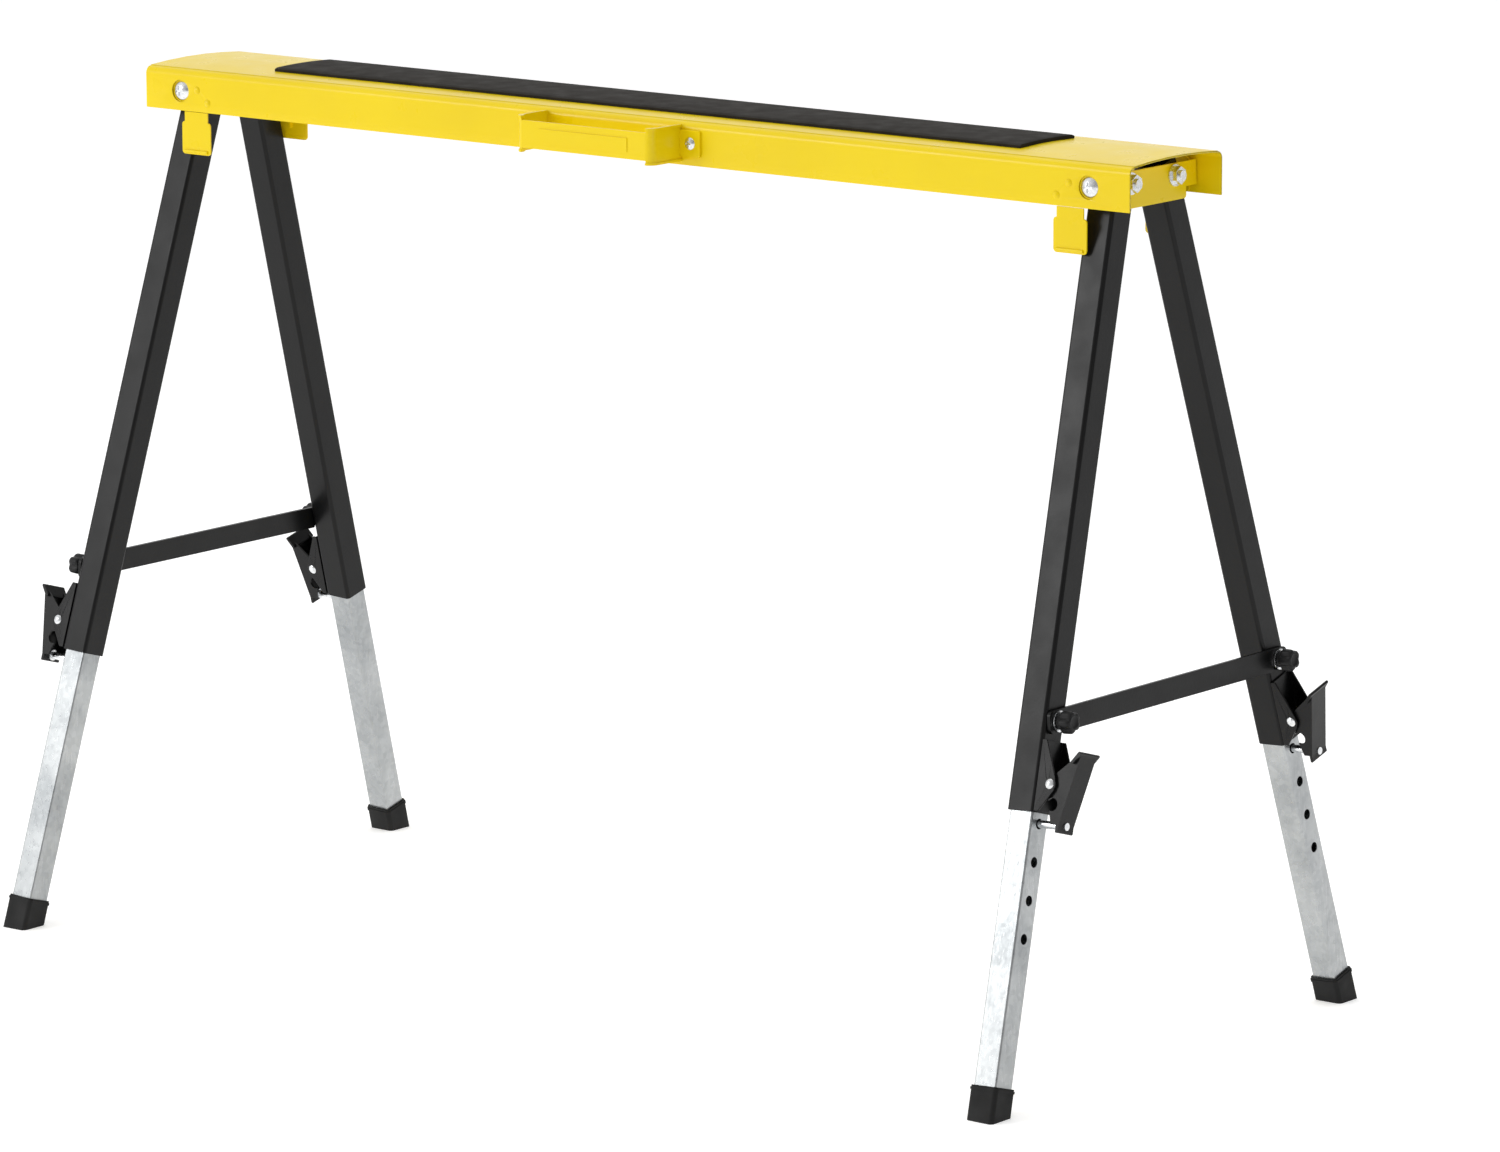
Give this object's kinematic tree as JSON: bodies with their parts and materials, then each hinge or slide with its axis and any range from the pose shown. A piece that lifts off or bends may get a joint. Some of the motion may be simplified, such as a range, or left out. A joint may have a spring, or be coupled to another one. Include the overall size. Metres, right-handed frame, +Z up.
{
  "type": "folding sawhorse",
  "caption": "Steel sawhorse with a crowned channel beam, fold-in splayed leg pairs, telescopic feet with lever locks, swinging braces and a carry handle.",
  "frame": {"origin": "on the floor under the middle of the beam, feet flat at rest height", "axes": "+X along the beam to the right end, +Y to the back (the carry handle is at the front, -Y), +Z up"},
  "size_m": [1.0648, 0.4862, 0.703],
  "materials": {
    "yellow_paint": "glossy",
    "black_paint": "satin",
    "zinc": "satin",
    "pad_rubber": "matte",
    "foot_rubber": "matte",
    "knob_plastic": "satin"
  },
  "bodies": {
    "beam": {"beam_shell": "yellow_paint", "grip_pad": "pad_rubber", "carry_handle": "yellow_paint", "handle_screws": "zinc", "latch_plates": "yellow_paint", "latch_rivets": "yellow_paint", "pivot_bolts": "zinc"},
    "yoke_left": {"yoke_left": "yellow_paint", "leg_hinge_bolts_left": "zinc"},
    "leg_front_left": {"leg_front_left": "black_paint", "lever_bracket_front_left": "black_paint", "lever_rivet_front_left": "zinc", "lever_spring_front_left": "zinc", "brace_stud_front_left": "zinc"},
    "extension_front_left": {"extension_front_left": "zinc", "foot_front_left": "foot_rubber"},
    "lever_front_left": {"lever_front_left": "black_paint", "lock_pin_front_left": "zinc"},
    "latch_front_left": {"latch_front_left": "yellow_paint"},
    "knob_front_left": {"knob_front_left": "knob_plastic"},
    "brace_left": {"brace_left": "black_paint"},
    "leg_back_left": {"leg_back_left": "black_paint", "lever_bracket_back_left": "black_paint", "lever_rivet_back_left": "zinc", "lever_spring_back_left": "zinc", "brace_stud_back_left": "zinc"},
    "extension_back_left": {"extension_back_left": "zinc", "foot_back_left": "foot_rubber"},
    "lever_back_left": {"lever_back_left": "black_paint", "lock_pin_back_left": "zinc"},
    "latch_back_left": {"latch_back_left": "yellow_paint"},
    "knob_back_left": {"knob_back_left": "knob_plastic"},
    "yoke_right": {"yoke_right": "yellow_paint", "leg_hinge_bolts_right": "zinc"},
    "leg_front_right": {"leg_front_right": "black_paint", "lever_bracket_front_right": "black_paint", "lever_rivet_front_right": "zinc", "lever_spring_front_right": "zinc", "brace_stud_front_right": "zinc"},
    "extension_front_right": {"extension_front_right": "zinc", "foot_front_right": "foot_rubber"},
    "lever_front_right": {"lever_front_right": "black_paint", "lock_pin_front_right": "zinc"},
    "latch_front_right": {"latch_front_right": "yellow_paint"},
    "knob_front_right": {"knob_front_right": "knob_plastic"},
    "brace_right": {"brace_right": "black_paint"},
    "leg_back_right": {"leg_back_right": "black_paint", "lever_bracket_back_right": "black_paint", "lever_rivet_back_right": "zinc", "lever_spring_back_right": "zinc", "brace_stud_back_right": "zinc"},
    "extension_back_right": {"extension_back_right": "zinc", "foot_back_right": "foot_rubber"},
    "lever_back_right": {"lever_back_right": "black_paint", "lock_pin_back_right": "zinc"},
    "latch_back_right": {"latch_back_right": "yellow_paint"},
    "knob_back_right": {"knob_back_right": "knob_plastic"}
  },
  "joints": [
    {"name": "fold_left", "type": "hinge", "parent": "beam", "child": "yoke_left", "pos_m": [-0.462, 0, 0.679], "axis": [0, -1, 0], "range_deg": [0, 92]},
    {"name": "close_front_left", "type": "hinge", "parent": "yoke_left", "child": "leg_front_left", "pos_m": [-0.462, -0.0285, 0.679], "axis": [0.9986, 0, -0.0523], "range_deg": [0, 17]},
    {"name": "height_front_left", "type": "slide", "parent": "leg_front_left", "child": "extension_front_left", "axis": [0.0502, 0.284, 0.9575], "range_m": [-0.203, 0.087]},
    {"name": "release_front_left", "type": "hinge", "parent": "leg_front_left", "child": "lever_front_left", "pos_m": [-0.50885, -0.15801, 0.24363], "axis": [-0.0149, 0.9588, -0.2836], "range_deg": [0, 18], "stiffness_Nm_per_rad": 0.4},
    {"name": "tab_front_left", "type": "hinge", "parent": "beam", "child": "latch_front_left", "pos_m": [-0.445, -0.0594, 0.662], "axis": [-1, 0, 0], "range_deg": [0, 12], "stiffness_Nm_per_rad": 0.6},
    {"name": "turn_front_left", "type": "hinge", "parent": "leg_front_left", "child": "knob_front_left", "pos_m": [-0.50295, -0.14438, 0.28941], "axis": [-0.9986, 0, 0.0523], "continuous": true},
    {"name": "brace_swing_left", "type": "hinge", "parent": "leg_front_left", "child": "brace_left", "pos_m": [-0.49695, -0.14438, 0.2891], "axis": [0.9986, 0, -0.0523], "range_deg": [0, 74]},
    {"name": "close_back_left", "type": "hinge", "parent": "yoke_left", "child": "leg_back_left", "pos_m": [-0.462, 0.0285, 0.679], "axis": [-0.9986, 0, 0.0523], "range_deg": [0, 17]},
    {"name": "height_back_left", "type": "slide", "parent": "leg_back_left", "child": "extension_back_left", "axis": [0.0502, -0.284, 0.9575], "range_m": [-0.203, 0.087]},
    {"name": "release_back_left", "type": "hinge", "parent": "leg_back_left", "child": "lever_back_left", "pos_m": [-0.50885, 0.15801, 0.24363], "axis": [0.0149, 0.9588, 0.2836], "range_deg": [0, 18], "stiffness_Nm_per_rad": 0.4},
    {"name": "tab_back_left", "type": "hinge", "parent": "beam", "child": "latch_back_left", "pos_m": [-0.445, 0.0594, 0.662], "axis": [1, 0, 0], "range_deg": [0, 12], "stiffness_Nm_per_rad": 0.6},
    {"name": "turn_back_left", "type": "hinge", "parent": "leg_back_left", "child": "knob_back_left", "pos_m": [-0.50295, 0.14438, 0.28941], "axis": [-0.9986, 0, 0.0523], "continuous": true},
    {"name": "fold_right", "type": "hinge", "parent": "beam", "child": "yoke_right", "pos_m": [0.462, 0, 0.679], "axis": [0, 1, 0], "range_deg": [0, 78]},
    {"name": "close_front_right", "type": "hinge", "parent": "yoke_right", "child": "leg_front_right", "pos_m": [0.462, -0.0285, 0.679], "axis": [0.9986, 0, 0.0523], "range_deg": [0, 17]},
    {"name": "height_front_right", "type": "slide", "parent": "leg_front_right", "child": "extension_front_right", "axis": [-0.0502, 0.284, 0.9575], "range_m": [-0.203, 0.087]},
    {"name": "release_front_right", "type": "hinge", "parent": "leg_front_right", "child": "lever_front_right", "pos_m": [0.50885, -0.15801, 0.24363], "axis": [-0.0149, -0.9588, 0.2836], "range_deg": [0, 18], "stiffness_Nm_per_rad": 0.4},
    {"name": "tab_front_right", "type": "hinge", "parent": "beam", "child": "latch_front_right", "pos_m": [0.445, -0.0594, 0.662], "axis": [-1, 0, 0], "range_deg": [0, 12], "stiffness_Nm_per_rad": 0.6},
    {"name": "turn_front_right", "type": "hinge", "parent": "leg_front_right", "child": "knob_front_right", "pos_m": [0.50295, -0.14438, 0.28941], "axis": [0.9986, 0, 0.0523], "continuous": true},
    {"name": "brace_swing_right", "type": "hinge", "parent": "leg_front_right", "child": "brace_right", "pos_m": [0.49695, -0.14438, 0.2891], "axis": [0.9986, 0, 0.0523], "range_deg": [0, 74]},
    {"name": "close_back_right", "type": "hinge", "parent": "yoke_right", "child": "leg_back_right", "pos_m": [0.462, 0.0285, 0.679], "axis": [-0.9986, 0, -0.0523], "range_deg": [0, 17]},
    {"name": "height_back_right", "type": "slide", "parent": "leg_back_right", "child": "extension_back_right", "axis": [-0.0502, -0.284, 0.9575], "range_m": [-0.203, 0.087]},
    {"name": "release_back_right", "type": "hinge", "parent": "leg_back_right", "child": "lever_back_right", "pos_m": [0.50885, 0.15801, 0.24363], "axis": [0.0149, -0.9588, -0.2836], "range_deg": [0, 18], "stiffness_Nm_per_rad": 0.4},
    {"name": "tab_back_right", "type": "hinge", "parent": "beam", "child": "latch_back_right", "pos_m": [0.445, 0.0594, 0.662], "axis": [1, 0, 0], "range_deg": [0, 12], "stiffness_Nm_per_rad": 0.6},
    {"name": "turn_back_right", "type": "hinge", "parent": "leg_back_right", "child": "knob_back_right", "pos_m": [0.50295, 0.14438, 0.28941], "axis": [0.9986, 0, 0.0523], "continuous": true}
  ],
  "couplings": [
    {"joint": "close_front_left", "follows": "fold_left", "ratio": 0.17935},
    {"joint": "brace_swing_left", "follows": "fold_left", "ratio": 0.79891},
    {"joint": "close_back_left", "follows": "fold_left", "ratio": 0.17935},
    {"joint": "close_front_right", "follows": "fold_right", "ratio": 0.21154},
    {"joint": "brace_swing_right", "follows": "fold_right", "ratio": 0.94231},
    {"joint": "close_back_right", "follows": "fold_right", "ratio": 0.21154}
  ]
}
